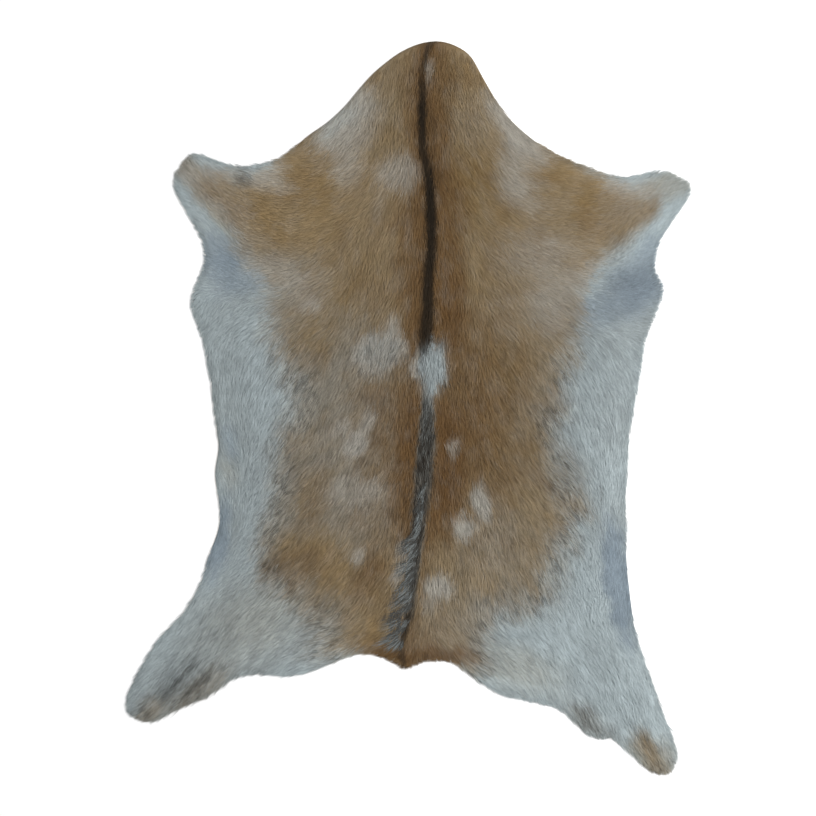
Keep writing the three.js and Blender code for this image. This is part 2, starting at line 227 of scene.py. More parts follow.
# Markings in the coat, and a few ovals of painted shade, by colour and from the neck to the tail: ovals that
# fade over a share of their size.
# White is the bare coat, which takes the saddle's tan off, so it comes first.
Oval = namedtuple("Oval", "across along long wide turn strength soft")
MARKINGS = {
    "white": [
        Oval(-82, 351, 38, 20, 42, 0.68, 0.6), Oval(132, 322, 26, 15, 132, 0.35, 0.7),
        Oval(-34, 67, 31, 24, 8, 0.72, 0.35), Oval(30, 49, 34, 22, 84, 0.97, 0.3),
        Oval(27, 18, 11, 7, 90, 0.9, 0.5), Oval(-65, -48, 14, 7, 65, 0.4, 0.6),
        Oval(92, -122, 13, 7, 110, 0.4, 0.6), Oval(69, -147, 10, 8, 0, 0.3, 0.6),
    ],
    "cream": [
        Oval(322, 272, 28, 13, 5, 0.7, 0.6), Oval(-226, 226, 26, 6, 125, 0.7, 0.5),
        Oval(-220, -78, 18, 12, 100, 0.5, 0.8), Oval(-185, -260, 70, 40, 30, 0.7, 0.9),
        Oval(130, -315, 50, 22, 160, 0.6, 0.9), Oval(283, -428, 20, 10, 130, 0.7, 0.8),
        Oval(304, -438, 26, 20, 60, 0.9, 0.8),
    ],
    # Grey hair; the broad ovals on the left flank and thigh are partly painted shade, darker than the right
    # side nearer the soft box
    "grey": [
        Oval(318, 268, 38, 18, 10, 0.35, 0.9), Oval(-252, 222, 20, 12, 125, 0.25, 0.8),
        Oval(-222, 178, 36, 28, 120, 0.25, 0.9), Oval(-188, 138, 32, 24, 0, 0.35, 0.9),
        Oval(298, 115, 24, 20, 90, 0.35, 0.9), Oval(262, 105, 46, 36, 100, 0.5, 0.9),
        Oval(215, 100, 40, 22, 100, 0.3, 0.9), Oval(-34, 67, 31, 24, 8, 0.3, 0.35),
        Oval(-225, 60, 110, 30, 92, 0.24, 0.9), Oval(30, 47, 38, 24, 84, 0.42, 0.35),
        Oval(255, -5, 60, 30, 95, 0.36, 0.9), Oval(205, -20, 60, 26, 100, 0.2, 0.9),
        Oval(190, -75, 40, 22, 120, 0.3, 0.9), Oval(-210, -80, 90, 30, 92, 0.25, 0.9),
        Oval(-165, -85, 50, 26, 90, 0.25, 0.9), Oval(232, -138, 50, 26, 95, 0.22, 0.9),
        Oval(-224, -140, 30, 18, 90, 0.25, 0.9), Oval(258, -140, 30, 20, 95, 0.35, 0.9),
        Oval(-205, -222, 76, 42, 30, 0.3, 0.9), Oval(-110, -275, 40, 26, 20, 0.5, 0.9),
        Oval(-200, -280, 70, 40, 30, 0.35, 1.0), Oval(105, -300, 34, 18, 150, 0.2, 0.9),
        Oval(-150, -310, 60, 16, 5, 0.25, 0.9), Oval(-290, -330, 70, 28, 42, 0.5, 0.9),
        Oval(-262, -350, 50, 16, 38, 0.5, 0.8), Oval(-312, -364, 34, 18, 38, 0.45, 0.8),
        Oval(222, -386, 36, 16, 140, 0.4, 0.8), Oval(266, -420, 36, 14, 120, 0.15, 0.9),
        Oval(304, -446, 26, 16, 60, 0.4, 0.8),
    ],
    "blue": [
        Oval(300, 195, 20, 15, 60, 0.6, 0.7), Oval(-226, 180, 32, 24, 120, 0.85, 0.7),
        Oval(-205, 150, 36, 14, 10, 0.5, 0.8), Oval(282, 150, 36, 28, 30, 1.0, 0.7),
        Oval(245, 122, 36, 18, 10, 0.6, 0.8), Oval(-217, -45, 22, 9, 105, 0.5, 0.7),
        Oval(-234, -160, 48, 15, 82, 0.85, 0.5), Oval(258, -215, 74, 18, 98, 0.95, 0.4),
    ],
    "tan": [
        Oval(276, 260, 40, 14, 15, 0.3, 0.9), Oval(182, -205, 34, 18, 80, 0.25, 0.9),
        Oval(-95, -290, 36, 18, 20, 0.25, 0.9), Oval(85, -310, 20, 12, 150, 0.35, 0.8),
        Oval(-262, -345, 40, 14, 40, 0.2, 0.9), Oval(-256, -352, 44, 14, 38, 0.28, 0.8),
        Oval(-318, -372, 26, 12, 40, 0.45, 0.8), Oval(222, -385, 32, 14, 140, 0.22, 0.9),
        Oval(289, -416, 19, 11, 118, 0.75, 0.7), Oval(305, -438, 22, 17, 125, 0.5, 0.8),
    ],
    "dun": [
        Oval(195, 303, 24, 14, 0, 0.5, 0.8), Oval(-150, 176, 60, 22, 160, 0.6, 0.8),
        Oval(175, 128, 40, 24, 100, 0.6, 0.9), Oval(-135, 120, 34, 30, 0, 0.5, 0.9),
        Oval(-80, 10, 105, 60, 90, 0.85, 0.7), Oval(158, -10, 60, 22, 85, 0.5, 0.9),
        Oval(-100, -108, 70, 40, 10, 0.75, 0.7), Oval(-142, -135, 50, 22, 90, 0.35, 0.9),
        Oval(-24, -140, 30, 14, 90, 0.45, 0.9), Oval(-60, -148, 40, 22, 80, 0.5, 0.9),
        Oval(110, -175, 66, 44, 90, 0.35, 0.9), Oval(-100, -250, 50, 24, 140, 0.5, 0.9),
        Oval(90, -252, 60, 22, 0, 0.35, 0.9),
    ],
    "ochre": [
        Oval(66, 402, 34, 30, 90, 0.4, 0.8), Oval(-145, 290, 13, 10, 0, 0.5, 0.7),
        Oval(178, 289, 26, 16, 0, 0.7, 0.6), Oval(78, 280, 42, 28, 90, 0.95, 0.5),
        Oval(-112, 274, 54, 24, 100, 0.8, 0.6), Oval(-150, 236, 36, 26, 0, 0.4, 0.9),
        Oval(227, 232, 42, 23, 115, 0.8, 0.7), Oval(-174, 230, 40, 14, 123, 0.85, 0.7),
        Oval(105, 210, 150, 64, 90, 0.3, 0.9), Oval(-80, 142, 24, 22, 0, 0.6, 0.9),
        Oval(-120, 85, 34, 24, 20, 0.5, 0.9), Oval(150, -45, 22, 16, 60, 0.5, 0.9),
        Oval(100, -62, 40, 22, 90, 0.25, 0.9), Oval(-115, -105, 28, 18, 60, 0.5, 0.9),
        Oval(-140, -172, 34, 20, 20, 0.5, 0.9), Oval(-90, -208, 24, 18, 60, 0.6, 0.8),
        Oval(95, -208, 22, 16, 90, 0.6, 0.8), Oval(-42, -275, 28, 20, 20, 0.7, 0.8),
    ],
    "rust": [
        Oval(32, 414, 42, 32, 0, 0.45, 0.9), Oval(40, 390, 40, 16, 95, 0.15, 0.9),
        Oval(2, 345, 60, 9, 90, 0.25, 0.9), Oval(38, 345, 64, 15, 90, 0.75, 0.8),
        Oval(52, 262, 56, 18, 95, 0.45, 0.8), Oval(0, 205, 90, 18, 90, 0.65, 0.8),
        Oval(54, 205, 80, 18, 90, 0.55, 0.8), Oval(52, 118, 66, 20, 90, 0.85, 0.7),
        Oval(110, 40, 80, 45, 90, 0.2, 1.0), Oval(78, -20, 110, 46, 92, 0.68, 0.9),
        Oval(0, -40, 100, 18, 88, 0.7, 0.8), Oval(-28, -40, 130, 34, 90, 0.4, 0.9),
        Oval(48, -70, 74, 19, 90, 1.0, 0.6), Oval(168, -92, 18, 7, 140, 0.35, 0.8),
        Oval(38, -145, 22, 15, 90, 0.5, 0.8), Oval(-138, -196, 40, 20, 25, 0.3, 0.9),
        Oval(-50, -205, 34, 18, 70, 0.5, 0.8), Oval(12, -280, 24, 20, 0, 0.35, 0.9),
        Oval(36, -303, 46, 14, 0, 0.9, 0.6), Oval(-20, -303, 30, 14, 155, 0.85, 0.7),
    ],
    "pale": [
        Oval(24, 412, 18, 4, 90, 0.45, 0.6), Oval(-62, 378, 26, 16, 45, 0.7, 0.7),
        Oval(84, 350, 34, 22, 90, 0.2, 0.9), Oval(-74, 344, 46, 28, 45, 0.8, 0.7),
        Oval(134, 341, 50, 20, 131, 0.85, 0.45), Oval(-72, 300, 26, 18, 90, 0.6, 0.8),
        Oval(150, 300, 16, 14, 0, 0.4, 0.8), Oval(-278, 290, 26, 16, 125, 0.65, 0.6),
        Oval(-252, 286, 40, 22, 20, 0.3, 0.9), Oval(-12, 285, 25, 20, 0, 0.62, 0.5),
        Oval(-172, 282, 22, 18, 30, 0.62, 0.6), Oval(128, 282, 30, 20, 100, 0.65, 0.6),
        Oval(272, 268, 26, 18, 0, 0.4, 0.7), Oval(-148, 264, 16, 7, 10, 0.35, 0.6),
        Oval(146, 256, 26, 18, 120, 0.5, 0.8), Oval(-38, 252, 18, 8, 75, 0.25, 0.7),
        Oval(-226, 238, 42, 24, 130, 0.3, 0.9), Oval(262, 238, 46, 20, 35, 0.25, 0.9),
        Oval(175, 203, 9, 6, 0, 0.5, 0.6), Oval(162, 186, 48, 28, 0, 0.5, 0.9),
        Oval(225, 165, 34, 14, 20, 0.6, 0.8), Oval(-150, 160, 40, 16, 155, 0.5, 0.9),
        Oval(180, 128, 30, 26, 90, 0.4, 0.9), Oval(-120, 124, 14, 11, 0, 0.65, 0.7),
        Oval(160, 118, 50, 32, 0, 0.3, 0.9), Oval(-18, 96, 14, 9, 90, 0.6, 0.6),
        Oval(-34, 67, 32, 25, 8, 0.85, 0.3), Oval(13, 50, 20, 8, 88, 0.85, 0.4),
        Oval(30, 46, 38, 20, 82, 0.35, 0.35), Oval(-50, -16, 13, 9, 70, 0.65, 0.7),
        Oval(-82, -23, 13, 9, 20, 0.7, 0.6), Oval(-63, -45, 21, 12, 65, 0.95, 0.4),
        Oval(55, -47, 9, 5, 90, 0.65, 0.6), Oval(-104, -58, 20, 16, 0, 0.25, 0.9),
        Oval(-44, -95, 12, 8, 0, 0.5, 0.7), Oval(-86, -97, 11, 8, 0, 0.45, 0.6),
        Oval(-62, -106, 36, 20, 0, 0.4, 0.7), Oval(90, -118, 20, 11, 110, 1.0, 0.5),
        Oval(69, -147, 16, 14, 0, 1.0, 0.4), Oval(-9, -170, 10, 6, 80, 0.6, 0.6),
        Oval(105, -180, 42, 32, 90, 0.2, 0.9), Oval(-61, -181, 12, 8, 75, 0.75, 0.5),
        Oval(-12, -200, 15, 8, 75, 0.85, 0.5), Oval(39, -218, 18, 16, 0, 0.95, 0.3),
        Oval(24, -238, 12, 8, 0, 0.5, 0.7), Oval(80, -272, 52, 32, 0, 0.28, 0.9),
    ],
    # Black hair; two thin ovals are painted shadow instead: (-232, -20) in a fold by the left edge, and
    # (238, -105) in a crease in the right flank
    "black": [
        Oval(27, 335, 44, 6, 91, 0.3, 0.8), Oval(-203, 284, 12, 7, 75, 0.5, 0.6),
        Oval(34, 284, 22, 5, 100, 0.22, 0.8), Oval(277, 149, 34, 23, 30, 0.26, 0.9),
        Oval(-232, -20, 40, 4, 94, 0.2, 0.8), Oval(192, -52, 34, 11, 108, 0.12, 0.8),
        Oval(-125, -66, 26, 8, 30, 0.22, 0.8), Oval(205, -88, 24, 10, 130, 0.06, 0.8),
        Oval(238, -105, 11, 3, 70, 0.4, 0.7), Oval(-165, -195, 24, 9, 50, 0.2, 0.8),
        Oval(-98, -245, 18, 8, 40, 0.15, 0.8), Oval(-262, -318, 12, 1.8, 50, 0.4, 0.7),
        Oval(-241, -322, 11, 1.6, 57, 0.45, 0.7), Oval(-278, -325, 40, 8, 45, 0.15, 0.8),
        Oval(-272, -326, 16, 2, 48, 0.5, 0.7), Oval(-249, -332, 15, 1.8, 57, 0.55, 0.7),
        Oval(-256, -336, 14, 1.6, 57, 0.5, 0.7), Oval(-282, -338, 16, 2, 50, 0.5, 0.7),
        Oval(-263, -342, 14, 1.8, 55, 0.6, 0.7), Oval(-295, -348, 14, 2, 48, 0.4, 0.7),
        Oval(-272, -350, 12, 1.6, 50, 0.5, 0.7), Oval(-286, -350, 12, 1.8, 45, 0.45, 0.7),
        Oval(206, -370, 10, 2, 100, 0.6, 0.7), Oval(214, -378, 12, 1.6, 105, 0.6, 0.7),
        Oval(223, -386, 12, 1.6, 108, 0.6, 0.7), Oval(231, -393, 12, 1.6, 110, 0.5, 0.7),
        Oval(241, -394, 11, 1.6, 112, 0.5, 0.7),
    ],
}

# Colours of the hair as linear light: the bare coat, and those on it in the order in which they are laid on
WHITE_HAIR = (0.405, 0.47, 0.49, 1.0)
HAIR_COLOURS = {
    "cream": (0.43, 0.435, 0.385, 1.0),
    # grey is real grey hair, and also painted shade where it is laid on the left flank
    "grey": (0.24, 0.265, 0.265, 1.0),
    "blue": (0.218, 0.272, 0.318, 1.0),
    "tan": (0.265, 0.198, 0.112, 1.0),
    "dun": (0.262, 0.245, 0.203, 1.0),
    "ochre": (0.25, 0.17, 0.075, 1.0),
    "rust": (0.138, 0.072, 0.023, 1.0),
    "pale": (0.38, 0.36, 0.315, 1.0),
    "black": (0.015, 0.009, 0.003, 1.0),
}
SADDLE_COLOURS = ("tan", "dun", "ochre", "rust")  # taken off where the bare coat shows
COLOURS_IN_TAN = ("dun", "ochre", "rust", "pale")  # fade out where the tan does
LEAST_TAN = 0.6  # share of tan that keeps them whole
ROOT_SHADE = (0.83, 0.82, 0.80)  # painted shade: the share of red, green and blue light that a hair gives back at its root, where the hair above shades it
TIP_SHADE = 0.98  # the same at its tip
DARK_SUEDE = (0.50, 0.42, 0.31, 1.0)
PALE_SUEDE = (0.66, 0.59, 0.48, 1.0)

# How far single locks and hairs depart from the coat's colour
LOCK_TONE = 0.035
BLADE_TONE = 0.07
WISP_TONE = 0.1  # of neighbouring locks together, more where the hair is longer than usual
WISP_SIZE = 6.0
USUAL_LENGTH = 18.0
PAINTED_RIM_SHADE = 0.86  # painted shade: the tone at the very rim, and how far in that goes, in millimetres
RIM_SHADE_REACH = 6.0
STRAY_ALONG = 3.0  # millimetres that a hair's colour strays from the coat's pattern, along the hair
STRAY_ASIDE = 0.9  # the same to its side
STRAY_TOGETHER = 6.0  # the same along the hair for whole wisps
MIXING = 0.18  # of a colour's share, from hair to hair, where two colours meet
GUARD_TONE = 0.47  # of the dark guard hair that stands in tufts where the tan fades into the white
GUARD_IN_TAN = 0.35  # the share of it that stands in the tan itself
GUARD_SIZE = 3.2
GUARD_TUFT_EDGE = (0.25, 0.5)  # levels of noise at which a tuft begins and is full
GUARD_FROM = (150.0, 60.0)  # how far along it begins, behind the shoulders, and where it has come in

# Blotches in the tan: their colour, how much of it they add at most, how wide they are in millimetres, and
# the levels of noise at which they begin and are full
Blotch = namedtuple("Blotch", "colour most size begins full")
BLOTCHES = [
    Blotch("ochre", 0.35, 13, -0.1, 0.8), Blotch("rust", 0.2, 20, -0.2, 0.8),
    Blotch("pale", 0.14, 9, -0.1, 0.9),
]

# The clouds of noise, each with a seed of its own by its place in this list
CLOUDS = (
    "across", "along", "saddle", "stripe", "swirl", "wisp", "stripe_tuft", "rust", "pale", "stray", "ochre",
    "guard", "mane",
)

# The studio, in metres and watts
SKY_STRENGTH = 0.7
SOFT_BOX_PLACE = (1.05, 0.1, 1.3)
SOFT_BOX_SIZE = 1.2
SOFT_BOX_POWER = 26.8
FLOOR_HALF = 30.0
FLOOR_WHITE = 0.97
CAMERA_LENS = 85.0  # millimetres
PHOTO_LENGTH_PX = 736  # of the skin along its spine in the picture, which is PHOTO_FRAME_PX each way
PHOTO_FRAME_PX = 816


def smooth(value, low, high):
    share = np.clip((value - low) / (high - low), 0.0, 1.0)
    return share * share * (3.0 - 2.0 * share)


def unit(turn):
    """The direction of a turn in degrees, across and along."""
    return np.stack([np.cos(np.radians(turn)), np.sin(np.radians(turn))], axis=-1)


def turned(ways, turn):
    """Directions turned anticlockwise by degrees."""
    cos, sin = np.cos(np.radians(turn)), np.sin(np.radians(turn))
    across, along = ways[..., 0], ways[..., 1]
    return np.stack([across * cos - along * sin, across * sin + along * cos], axis=-1)


def between(corner, right, up):
    """A value inside a cell, from those at its four corners."""
    under = corner(0, 0) * (1 - right) + corner(1, 0) * right
    over = corner(0, 1) * (1 - right) + corner(1, 1) * right
    return under * (1 - up) + over * up


def cloud(points, size, name):
    """Smooth noise from -1 to 1 over the skin, with lumps about as wide as the size."""
    cells = 256
    seed = 1 + CLOUDS.index(name)
    lattice = np.random.default_rng(seed).uniform(-1.0, 1.0, (cells, cells))
    low = np.floor(points / size).astype(int)
    share = smooth(points / size - low, 0.0, 1.0)

    def corner(right, up):
        return lattice[(low[:, 0] + right) % cells, (low[:, 1] + up) % cells]

    return between(corner, share[:, 0], share[:, 1])


def distance_to_line(points, line):
    """How far each point is from a line of points, and where along the line the nearest place is."""
    best = np.full(len(points), np.inf)
    place = np.zeros(len(points))
    for i, (start, end) in enumerate(zip(line[:-1], line[1:])):
        run = end - start
        share = np.clip((points - start) @ run / max(run @ run, 1e-9), 0.0, 1.0)
        away = np.hypot(*(points - start - share[:, None] * run).T)
        nearer = away < best
        best[nearer] = away[nearer]
        place[nearer] = i + share[nearer]
    return best, place


def inside_ring(points, ring):
    """Whether each point is inside a closed ring."""
    inside = np.zeros(len(points), bool)
    for (x0, y0), (x1, y1) in zip(ring, np.roll(ring, -1, axis=0)):
        if y0 != y1:
            spans = (points[:, 1] < y0) != (points[:, 1] < y1)
            inside ^= spans & (points[:, 0] < x0 + (points[:, 1] - y0) * (x1 - x0) / (y1 - y0))
    return inside


def depth_inside(points, ring):
    """How far each point is inside a closed ring. It is negative outside."""
    away, _ = distance_to_line(points, closed(ring))
    return np.where(inside_ring(points, ring), away, -away)


def column(rows, name):
    return np.array([getattr(row, name) for row in rows], float)


def places_of(rows):
    return np.stack([column(rows, "across"), column(rows, "along")], axis=1)


def closed(ring):
    return np.vstack([ring, ring[:1]])


def ring_area(ring):
    """The area inside a ring, which is negative where it runs clockwise."""
    nexts = np.roll(ring, -1, axis=0)
    return (ring[:, 0] * nexts[:, 1] - nexts[:, 0] * ring[:, 1]).sum() / 2


def near_rows(points, rows, blur):
    """How much each row of a table counts at each point."""
    squared = ((points[:, None, :] - places_of(rows)[None]) ** 2).sum(axis=2)
    weight = 1.0 / (squared + blur**2) ** 2
    return weight / weight.sum(axis=1, keepdims=True)


def coat_heading(points):
    """The direction in which the coat lies at each point."""
    ways = near_rows(points, HEADINGS, HEADING_BLUR) @ unit(column(HEADINGS, "heading"))
    return ways / np.linalg.norm(ways, axis=1, keepdims=True)


def coat_length(points):
    return near_rows(points, LENGTHS, LENGTH_BLUR) @ column(LENGTHS, "length")


def solid_outline(node):
    """The ring of the solid's flat underside, in millimetres, anticlockwise."""
    mesh = node.data
    on_floor = 0.001
    places = np.round([vertex.co / MM for vertex in mesh.vertices], 3)
    edges = {}
    for face in mesh.polygons:
        corners = [tuple(places[i]) for i in face.vertices]
        if all(corner[2] < on_floor for corner in corners):
            for start, end in zip(corners, corners[1:] + corners[:1]):
                edges[start] = edges.get(start, set()) | {end}
    outer = {
        start: end for start, ends in edges.items() for end in ends if start not in edges.get(end, ())
    }
    ring = [next(iter(outer))]
    while outer[ring[-1]] != ring[0]:
        ring.append(outer[ring[-1]])
    ring = np.array(ring)[:, :2]
    return ring if ring_area(ring) > 0 else ring[::-1]


def smooth_ring(values):
    for _ in range(EDGE_SMOOTHING):
        values = (np.roll(values, 1, axis=0) + 2 * values + np.roll(values, -1, axis=0)) / 4
    return values


def skin_outline(ring):
    """The cut edge of the leather: the solid's outline without its locks, drawn in under the hair."""
    ring = smooth_ring(ring)
    run = np.roll(ring, -1, axis=0) - np.roll(ring, 1, axis=0)
    outward = np.stack([run[:, 1], -run[:, 0]], axis=1) / np.linalg.norm(run, axis=1, keepdims=True)
    over_edge = np.clip((coat_heading(ring) * outward).sum(axis=1), 0.0, 1.0)
    inset = LEAST_INSET + (MOST_INSET - LEAST_INSET) * smooth_ring(over_edge)
    return ring - inset[:, None] * outward


class CoatTop:
    """The height of the solid over the floor, in millimetres, read once on a grid."""

    PITCH = 4.0

    def __init__(self, node):
        tree = BVHTree.FromPolygons(
            [vertex.co for vertex in node.data.vertices], [face.vertices[:] for face in node.data.polygons]
        )
        low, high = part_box(node.name)
        self.start = np.array(low[:2]) / MM - 2 * self.PITCH
        self.size = np.ceil((np.array(high[:2]) / MM - self.start) / self.PITCH).astype(int) + 3
        self.height = np.zeros(self.size)
        for i in range(self.size[0]):
            for j in range(self.size[1]):
                x, y = self.start + self.PITCH * np.array([i, j])
                hit = tree.ray_cast(Vector((x * MM, y * MM, 1.0)), Vector((0, 0, -1)))[0]
                self.height[i, j] = hit.z / MM if hit else 0.0

    def __call__(self, points):
        at = np.clip((points - self.start) / self.PITCH, 0, self.size - 1.001)
        low = at.astype(int)
        share = at - low

        def corner(right, up):
            return self.height[low[..., 0] + right, low[..., 1] + up]

        return between(corner, share[..., 0], share[..., 1])


def oval(points, row):
    """A soft oval: its strength in the middle, and 0 outside it."""
    away = turned(points - (row.across, row.along), -row.turn) / (row.long, row.wide)
    return row.strength * (1.0 - smooth(np.hypot(*away.T), 1 - row.soft, 1 + row.soft))


def saddle_share(points, places):
    """How much tan the coat has, which fades over the saddle's own soft edge."""
    ring = places_of(SADDLE)
    away, place = distance_to_line(places, closed(ring))
    depth = np.where(inside_ring(places, ring), away, -away) + SADDLE_STRAY * cloud(points, 30, "saddle")
    softness = column(SADDLE, "soft")
    soft = np.interp(place, np.arange(len(SADDLE) + 1), np.append(softness, softness[0]))
    return smooth(depth, -soft, soft)


def lay_on(shares, colour, strength):
    shares[colour] = 1.0 - (1.0 - shares[colour]) * (1.0 - strength)


def take_off(shares, strength):
    for colour in SADDLE_COLOURS:
        shares[colour] = shares[colour] * (1.0 - strength)


def coat_colours(points):
    """How much of each colour the hair at these points has."""
    stray = np.stack([cloud(points, 16, "across"), cloud(points, 16, "along")], axis=1)
    places = points + PATTERN_STRAY * stray
    shares = {colour: np.zeros(len(points)) for colour in HAIR_COLOURS}
    shares["tan"] = saddle_share(points, places)
    for colour, ovals in MARKINGS.items():
        for row in ovals:
            if colour == "white":
                take_off(shares, oval(places, row))
            else:
                lay_on(shares, colour, oval(places, row))
    for row in BLOTCHES:
        blotch = smooth(cloud(points, row.size, row.colour), row.begins, row.full)
        lay_on(shares, row.colour, row.most * shares["tan"] * blotch)
    for colour in COLOURS_IN_TAN:
        shares[colour] = shares[colour] * smooth(shares["tan"], 0.0, LEAST_TAN)
    lay_stripe(shares, points)
    return shares


def lay_stripe(shares, points):
    """The dark stripe on the spine, with grey tufts in it and brown beside it."""
    away, place = distance_to_line(points, places_of(STRIPE))
    half_width, black, grey, brown = (
        np.interp(place, np.arange(len(STRIPE)), column(STRIPE, name)) for name in Stripe._fields[2:]
    )
    half_width = half_width * (1 + STRIPE_STRAY * cloud(points, 7, "stripe"))
    within = 1.0 - smooth(away / half_width, *STRIPE_EDGE)
    beside = 1.0 - smooth(away / half_width, *STRIPE_SIDE)
    lay_on(shares, "rust", brown * beside * shares["tan"])
    greyed = within * smooth(grey, 0.0, STRIPE_GREYED)
    take_off(shares, greyed)
    lay_on(shares, "grey", greyed)
    tufts = smooth(cloud(points, 4, "stripe_tuft"), *STRIPE_TUFT_EDGE)
    lay_on(shares, "black", within * black * (1.0 - grey * tufts))


def mesh_piece(name, vertices, faces, material, attributes):
    """A mesh from arrays of places in millimetres and of triangles, with named values for each vertex."""
    mesh = bpy.data.meshes.new(name)
    mesh.vertices.add(len(vertices))
    mesh.vertices.foreach_set("co", (vertices * MM).astype(np.float32).ravel())
    mesh.loops.add(faces.size)
    mesh.loops.foreach_set("vertex_index", faces.astype(np.int32).ravel())
    mesh.polygons.add(len(faces))
    mesh.polygons.foreach_set("loop_start", np.arange(0, faces.size, 3, dtype=np.int32))
    mesh.polygons.foreach_set("use_smooth", np.ones(len(faces), bool))
    for key, values in attributes.items():
        mesh.attributes.new(key, "FLOAT", "POINT").data.foreach_set("value", values.astype(np.float32))
    mesh.update()
    mesh.validate()
    mesh.materials.append(material)
    piece = bpy.data.objects.new(name, mesh)
    bpy.context.collection.objects.link(piece)
    return piece


class Nodes:
    """A material's node tree with short calls to add and link nodes."""

    def __init__(self, name):
        self.material = bpy.data.materials.new(name)
        self.material.use_nodes = True
        self.tree = self.material.node_tree
        self.shader = self.tree.nodes["Principled BSDF"]

    def add(self, kind, settings=(), **inputs):
        node = self.tree.nodes.new(kind)
        for key, value in dict(settings).items():
            setattr(node, key, value)
        for key, value in inputs.items():
            self.put(node.inputs[key], value)
        return node

    def put(self, socket, value):
        if isinstance(value, bpy.types.NodeSocket):
            self.tree.links.new(value, socket)
        else:
            socket.default_value = value

    def surface(self, name, value):
        self.put(self.shader.inputs[name], value)

    def attribute(self, name):
        return self.add("ShaderNodeAttribute", {"attribute_name": name}).outputs["Fac"]

    def mix(self, below, above, share, blend="MIX"):
        node = self.add("ShaderNodeMix", {"data_type": "RGBA", "blend_type": blend})
        for socket, value in zip((node.inputs[0], node.inputs[6], node.inputs[7]), (share, below, above)):
            self.put(socket, value)
        return node.outputs[2]

    def spread(self, value, low, high, from_low=0.0, from_high=1.0):
        node = self.add("ShaderNodeMapRange")
        for socket, number in zip(node.inputs, (value, from_low, from_high, low, high)):
            self.put(socket, number)
        return node.outputs["Result"]

    def toned(self, colour, tone):
        return self.add("ShaderNodeHueSaturation", Value=tone, Color=colour).outputs["Color"]

    def noise(self, scale, detail, roughness):
        place = self.add("ShaderNodeTexCoord").outputs["Object"]
        inputs = {"Vector": place, "Scale": scale, "Detail": detail, "Roughness": roughness}
        return self.add("ShaderNodeTexNoise", **inputs).outputs["Fac"]

    def bumpy(self, height, strength, distance):
        bump = self.add("ShaderNodeBump", Height=height, Strength=strength, Distance=distance)
        self.surface("Normal", bump.outputs["Normal"])


def coat_colour(nodes):
    """The coat's own colour, from the shares of each colour that the mesh holds."""
    colour = WHITE_HAIR
    for name, hair_colour in HAIR_COLOURS.items():
        colour = nodes.mix(colour, hair_colour, nodes.attribute(name))
    return colour


def hair_material():
    nodes = Nodes("goat_hair")
    tone = nodes.attribute("tone")
    toned = nodes.toned(coat_colour(nodes), tone)
    reach = nodes.attribute("reach")
    # Painted shade: each hair is darker towards its root
    red, green, blue = (nodes.spread(reach, root, TIP_SHADE) for root in ROOT_SHADE)
    shade = nodes.add("ShaderNodeCombineColor", Red=red, Green=green, Blue=blue)
    nodes.surface("Base Color", nodes.mix(toned, shade.outputs["Color"], 1.0, "MULTIPLY"))
    nodes.surface("Roughness", nodes.spread(tone, 0.72, 0.55, 0.7, 1.2))
    nodes.surface("Specular IOR Level", 0.18)
    nodes.surface("Sheen Weight", 0.04)
    nodes.surface("Sheen Roughness", 0.5)
    return nodes.material


def undercoat_material():
    """The down on the skin, which shows between the hairs: the coat's colour darkened with painted shade,
    finely mottled.
    """
    nodes = Nodes("goat_undercoat")
    down = nodes.noise(scale=900.0, detail=4.0, roughness=0.6)
    # Painted shade: the down takes the coat's colour at 0.6 to 0.95 of its value, with a fine mottle
    nodes.surface("Base Color", nodes.toned(coat_colour(nodes), nodes.spread(down, 0.6, 0.95, 0.3, 0.7)))
    nodes.surface("Roughness", 0.9)
    nodes.bumpy(down, strength=0.5, distance=0.0008)
    return nodes.material


def suede_material():
    """The flesh side and the cut edge of the leather: buffed suede, mottled, with a short nap."""
    nodes = Nodes("suede")
    mottle = nodes.noise(scale=14.0, detail=5.0, roughness=0.55)
    nap = nodes.noise(scale=1400.0, detail=3.0, roughness=0.7)
    colour = nodes.mix(DARK_SUEDE, PALE_SUEDE, nodes.spread(mottle, 0.0, 1.0, 0.35, 0.65))
    nodes.surface("Base Color", nodes.toned(colour, nodes.spread(nap, 0.85, 1.1, 0.3, 0.7)))
    nodes.surface("Roughness", 0.92)
    nodes.bumpy(nap, strength=0.4, distance=0.0004)
    return nodes.material


def grid_inside(ring, pitch, margin):
    """Points on an even grid that lie at least a margin inside a ring."""
    low, high = ring.min(axis=0), ring.max(axis=0)
    across, along = (np.arange(low[i], high[i] + pitch, pitch) for i in (0, 1))
    points = np.stack(np.meshgrid(across, along, indexing="ij"), axis=-1).reshape(-1, 2)
    return points[depth_inside(points, ring) > margin]


